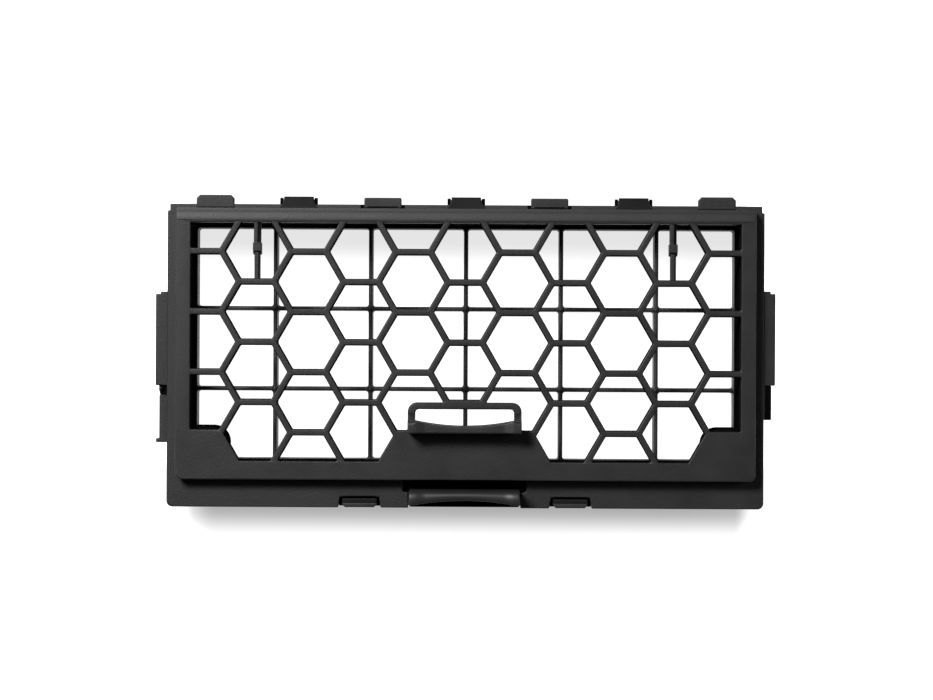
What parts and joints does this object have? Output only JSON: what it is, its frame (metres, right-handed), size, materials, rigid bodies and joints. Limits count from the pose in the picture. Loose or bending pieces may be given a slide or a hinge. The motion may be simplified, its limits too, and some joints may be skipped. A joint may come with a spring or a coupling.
{
  "type": "hinged filter frame",
  "caption": "Black moulded filter frame: a deep tray with a coarse rear grid, a hinged honeycomb cover with a finger lip, and a squeeze latch between two snap tabs.",
  "frame": {"origin": "middle of the plane of the tray's rear rim, under the middle of the object's box", "axes": "+X to the right along the hinge, +Y from the latch edge to the hinge edge, +Z out of the honeycomb cover"},
  "size_m": [0.2075, 0.1044, 0.0365],
  "materials": {
    "tray_plastic": "matte black moulded plastic with a fine even texture",
    "cover_plastic": "matte black moulded plastic with a fine even texture, slightly worn edges",
    "latch_plastic": "matte black moulded plastic, a little smoother on the grip"
  },
  "bodies": {
    "tray": {"flange_left": "tray_plastic", "flange_right": "tray_plastic", "flange_top": "tray_plastic", "flange_bottom_left": "tray_plastic", "flange_bottom_right": "tray_plastic", "wall_left": "tray_plastic", "wall_right": "tray_plastic", "wall_top": "tray_plastic", "wall_bottom": "tray_plastic", "rear_rib_vertical_1": "tray_plastic", "rear_rib_vertical_2": "tray_plastic", "rear_rib_vertical_3": "tray_plastic", "rear_rib_vertical_4": "tray_plastic", "rear_rib_vertical_5": "tray_plastic", "rear_rib_horizontal_upper": "tray_plastic", "rear_rib_horizontal_lower": "tray_plastic", "corner_block_left": "tray_plastic", "corner_block_right": "tray_plastic", "ear_left": "tray_plastic", "ear_right": "tray_plastic", "catch_left": "tray_plastic", "catch_right": "tray_plastic", "top_tab_far_left": "tray_plastic", "top_tab_inner_left": "tray_plastic", "top_tab_inner_right": "tray_plastic", "top_tab_far_right": "tray_plastic", "hinge_pin_left": "tray_plastic", "hinge_pin_centre": "tray_plastic", "hinge_pin_right": "tray_plastic", "snap_arm_left": "tray_plastic", "snap_arm_right": "tray_plastic", "latch_bracket_left": "tray_plastic", "latch_bracket_right": "tray_plastic", "latch_shelf": "tray_plastic"},
    "cover": {"cover_bar_left": "cover_plastic", "cover_bar_right": "cover_plastic", "cover_bar_top": "cover_plastic", "cover_bar_bottom": "cover_plastic", "honeycomb_grille": "cover_plastic", "centre_panel": "cover_plastic", "corner_panel_left": "cover_plastic", "corner_panel_right": "cover_plastic", "finger_loop_bar": "cover_plastic", "finger_loop_leg_left": "cover_plastic", "finger_loop_leg_right": "cover_plastic", "finger_lip": "cover_plastic", "retaining_arm_left": "cover_plastic", "retaining_arm_right": "cover_plastic", "hinge_hook_left": "cover_plastic", "hinge_hook_centre": "cover_plastic", "hinge_hook_right": "cover_plastic", "latch_keeper": "cover_plastic"},
    "latch": {"latch_plate": "latch_plastic", "latch_grip": "latch_plastic", "latch_nose": "latch_plastic", "latch_trunnion_left": "latch_plastic", "latch_trunnion_right": "latch_plastic"},
    "snap_left": {"snap_tab_left": "tray_plastic"},
    "snap_right": {"snap_tab_right": "tray_plastic"}
  },
  "joints": [
    {"name": "cover_hinge", "type": "hinge", "parent": "tray", "child": "cover", "pos_m": [0, 0.0499, 0.0215], "axis": [-1, 0, 0], "range_deg": [0, 90]},
    {"name": "latch_squeeze", "type": "hinge", "parent": "tray", "child": "latch", "pos_m": [0, -0.0464, 0.0188], "axis": [-1, 0, 0], "range_deg": [0, 9], "stiffness_Nm_per_rad": 0.3},
    {"name": "snap_left_flex", "type": "hinge", "parent": "tray", "child": "snap_left", "pos_m": [-0.0353, -0.0513, 0.012], "axis": [-1, 0, 0], "range_deg": [0, 2.8], "stiffness_Nm_per_rad": 0.5},
    {"name": "snap_right_flex", "type": "hinge", "parent": "tray", "child": "snap_right", "pos_m": [0.0353, -0.0513, 0.012], "axis": [-1, 0, 0], "range_deg": [0, 2.8], "stiffness_Nm_per_rad": 0.5}
  ]
}
